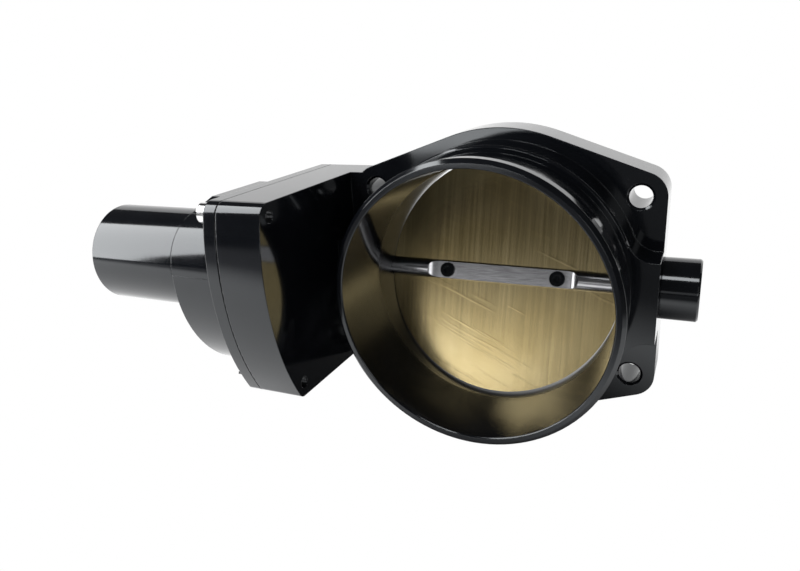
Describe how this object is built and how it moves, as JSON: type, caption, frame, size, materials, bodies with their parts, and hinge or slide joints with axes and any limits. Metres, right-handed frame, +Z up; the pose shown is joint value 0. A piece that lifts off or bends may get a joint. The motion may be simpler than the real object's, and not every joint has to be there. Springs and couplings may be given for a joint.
{
  "type": "throttle body",
  "caption": "Electronic throttle body with a round bore, brass blade on a steel shaft, side gear case, motor can and a bolt-on engine flange.",
  "frame": {"origin": "centre of the bore on the mounting face, which is also the centre of the four flange bolts", "axes": "+Y along the bore towards the engine, +X along the throttle shaft towards the end cap, +Z up"},
  "size_m": [0.2566, 0.0946, 0.13],
  "materials": {
    "black_anodised": "polished black anodised aluminium",
    "seal_rubber": "moulded",
    "ground_steel": "ground",
    "blade_brass": "brushed",
    "black_screw": "black oxide",
    "bearing_steel": "polished",
    "spring_steel": "drawn",
    "gear_plastic": "natural nylon",
    "zinc_steel": "zinc plated",
    "magnet": "sintered",
    "black_plastic": "moulded",
    "gasket": "sheet",
    "stainless": "bright stainless",
    "board_green": "solder mask",
    "gold_pin": "plated",
    "lamination": "laminated",
    "copper_wire": "enamelled copper",
    "carbon": "carbon",
    "bronze": "sintered bronze",
    "pinion_brass": "cut"
  },
  "bodies": {
    "housing": {"throttle_body": "black_anodised", "end_cap": "black_anodised", "flange_seal": "seal_rubber", "bearing_outer": "bearing_steel", "bearing_balls": "bearing_steel", "shaft_seals": "seal_rubber", "spring_sleeve": "black_plastic", "return_spring": "spring_steel", "stop_screw": "zinc_steel", "idler_pin": "ground_steel", "gear_cover": "black_anodised", "cover_gasket": "gasket", "cover_screws": "stainless", "sensor_board": "board_green", "sensor_chip": "black_plastic", "connector_shell": "black_plastic", "connector_pins": "gold_pin", "connector_screws": "zinc_steel", "motor_can": "black_anodised", "motor_yoke": "zinc_steel", "motor_magnets": "magnet", "brush_plate": "black_plastic", "brushes": "carbon", "motor_bushes": "bronze", "motor_screws": "black_screw"},
    "throttle": {"throttle_shaft": "ground_steel", "blade": "blade_brass", "blade_screws": "black_screw", "bearing_inner": "bearing_steel", "shaft_clip": "spring_steel", "sector_gear": "gear_plastic", "gear_nut": "zinc_steel", "sensor_magnet": "magnet"},
    "idler": {"idler_gear": "gear_plastic"},
    "rotor": {"motor_shaft": "ground_steel", "armature_core": "lamination", "armature_coils": "copper_wire", "commutator": "copper_wire", "motor_pinion": "pinion_brass"}
  },
  "joints": [
    {"name": "throttle_turn", "type": "hinge", "parent": "housing", "child": "throttle", "pos_m": [0, -0.014, 0], "axis": [-1, 0, 0], "range_deg": [-6.3, 75.7], "stiffness_Nm_per_rad": 0.08},
    {"name": "idler_turn", "type": "hinge", "parent": "housing", "child": "idler", "pos_m": [-0.08, -0.03952, -0.00498], "axis": [-1, 0, 0], "range_deg": [-255, 24]},
    {"name": "motor_turn", "type": "hinge", "parent": "housing", "child": "rotor", "pos_m": [-0.12, -0.059, 0.011], "axis": [-1, 0, 0], "range_deg": [-85, 975]}
  ],
  "couplings": [
    {"joint": "idler_turn", "follows": "throttle_turn", "ratio": -3.3333},
    {"joint": "motor_turn", "follows": "throttle_turn", "ratio": 12.821}
  ]
}
